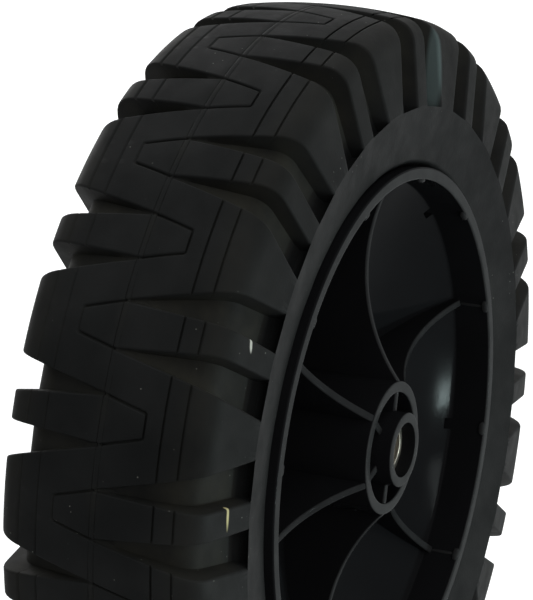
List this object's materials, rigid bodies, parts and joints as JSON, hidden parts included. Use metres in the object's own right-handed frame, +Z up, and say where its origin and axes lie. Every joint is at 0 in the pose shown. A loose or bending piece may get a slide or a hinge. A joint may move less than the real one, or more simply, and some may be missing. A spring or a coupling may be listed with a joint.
{
  "type": "lawn mower wheel",
  "caption": "Lawn mower wheel with a moulded rubber tyre of alternating lugs, a dished ribbed plastic hub and a steel sleeve for its axle.",
  "frame": {"origin": "wheel centre, on the axle line at the middle plane of the tread", "axes": "+Y along the axle, away from the dished face; the dished face with the boss looks along -Y; +Z up with the wheel standing on its tread"},
  "size_m": [0.2, 0.0554, 0.2],
  "materials": {
    "tyre_rubber": "matt black moulded rubber, a little dusty",
    "hub_plastic": "satin to glossy black moulded plastic",
    "sleeve_steel": "bare turned steel"
  },
  "bodies": {
    "root": {"tyre": "tyre_rubber", "wheel_hub": "hub_plastic", "axle_sleeve": "sleeve_steel"}
  },
  "joints": []
}
